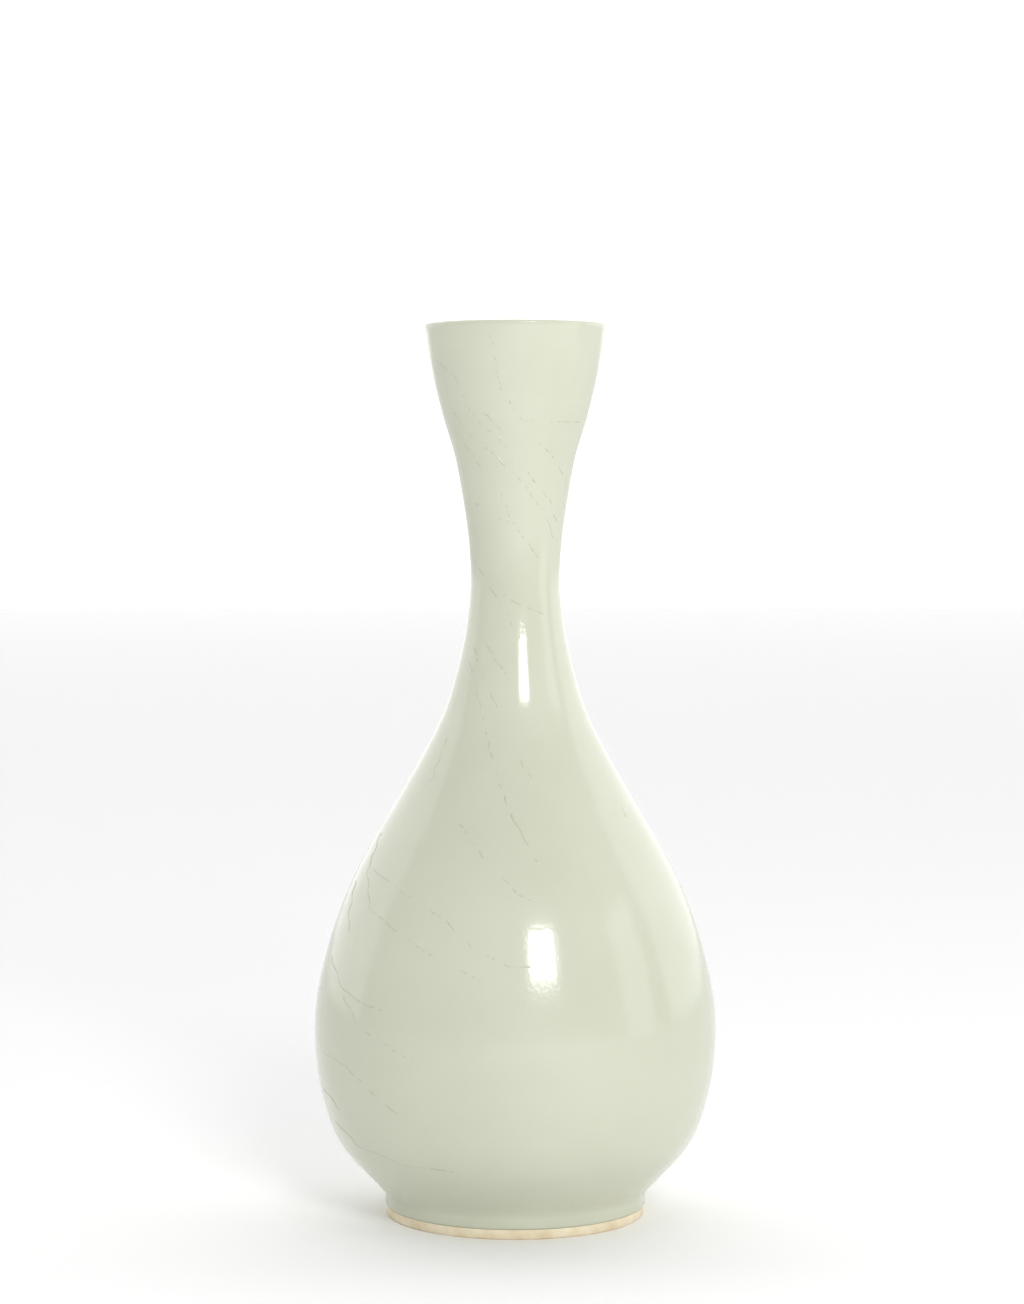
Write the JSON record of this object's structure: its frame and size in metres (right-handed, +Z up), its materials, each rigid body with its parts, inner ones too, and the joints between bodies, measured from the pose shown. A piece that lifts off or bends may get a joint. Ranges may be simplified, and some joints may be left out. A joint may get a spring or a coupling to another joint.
{
  "type": "long-neck vase",
  "caption": "Bottle vase with a round belly, a long slender neck and a flared mouth, pale green crackle glaze, on a low foot ring.",
  "frame": {"origin": "centre of the foot rim's underside, on the ground", "axes": "+Z up along the axis of the vase"},
  "size_m": [0.1216, 0.1216, 0.27],
  "materials": {
    "clay": "unglazed buff stoneware",
    "slip": "fired luting slip",
    "glaze": "glossy pale green crackle glaze"
  },
  "bodies": {
    "root": {"foot_ring": "clay", "lower_body": "clay", "upper_body": "clay", "neck": "clay", "foot_luting_slip": "slip", "belly_luting_slip": "slip", "neck_luting_slip": "slip", "outer_glaze": "glaze", "inner_glaze": "glaze", "base_glaze": "glaze"}
  },
  "joints": []
}
